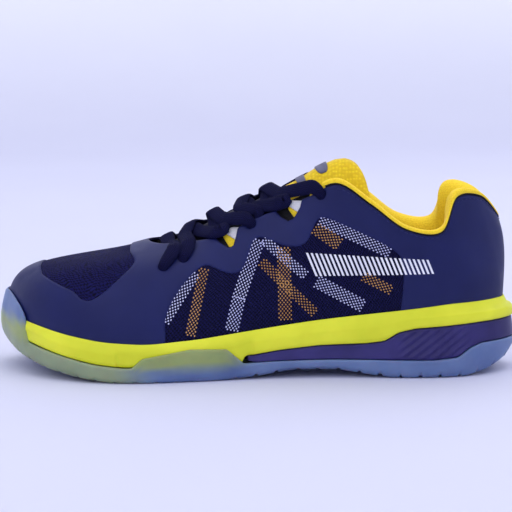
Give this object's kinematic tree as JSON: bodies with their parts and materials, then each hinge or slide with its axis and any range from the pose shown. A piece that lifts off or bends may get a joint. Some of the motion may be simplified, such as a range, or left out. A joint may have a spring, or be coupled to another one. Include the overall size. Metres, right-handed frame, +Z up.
{
  "type": "court shoe",
  "caption": "Low-cut indoor court shoe with a cupped rubber sole, foam midsole, heel stabiliser, mesh and film upper, padded collar and laced tongue.",
  "frame": {"origin": "on the floor under the middle of the shoe's bounding box", "axes": "+X from toe to heel, +Z up, -Y towards the outer (lateral) side of the foot"},
  "size_m": [0.3, 0.1051, 0.122],
  "materials": {
    "outsole_rubber": "translucent, fine tread",
    "midsole_foam": "moulded foam, satin",
    "stabiliser": "moulded, ribbed",
    "shank": "plain",
    "cushion_foam": "open foam",
    "board": "stiff non-woven",
    "lining_textile": "knit",
    "tongue_textile": "spacer mesh",
    "upper_mesh": "open knit with printed dots",
    "upper_film": "smooth satin film",
    "backing": "woven tape",
    "badge": "blank moulded patch",
    "lace_textile": "flat weave",
    "aglet": "smooth"
  },
  "bodies": {
    "shoe": {"outsole": "outsole_rubber", "midsole": "midsole_foam", "heel_stabiliser": "stabiliser", "shank_plate": "shank", "heel_cushion_insert": "cushion_foam", "forefoot_cushion_insert": "cushion_foam", "strobel_board": "board", "vamp_mesh": "upper_mesh", "quarter_mesh_lateral": "upper_mesh", "quarter_mesh_medial": "upper_mesh", "toe_overlay": "upper_film", "eyestay_overlay_lateral": "upper_film", "eyestay_overlay_medial": "upper_film", "heel_overlay": "upper_film", "toe_puff": "board", "heel_counter": "board", "eyestay_backing_lateral": "backing", "eyestay_backing_medial": "backing", "vamp_lining": "lining_textile", "collar_foam": "cushion_foam", "collar_lining": "lining_textile", "tongue": "tongue_textile", "tongue_lining": "lining_textile", "lace_keeper": "lace_textile", "lace": "lace_textile", "aglet_left": "aglet", "aglet_right": "aglet"},
    "tongue_flap": {"tongue_top": "tongue_textile", "tongue_badge": "badge"},
    "insole": {"sockliner": "lining_textile"}
  },
  "joints": [
    {"name": "tongue_tilt", "type": "hinge", "parent": "shoe", "child": "tongue_flap", "pos_m": [0.0354, 0, 0.1152], "axis": [0, -1, 0], "range_deg": [0, 25]},
    {"name": "sockliner_lift", "type": "hinge", "parent": "shoe", "child": "insole", "pos_m": [-0.1415, 0, 0.0225], "axis": [0, -1, 0], "range_deg": [0, 4]}
  ]
}
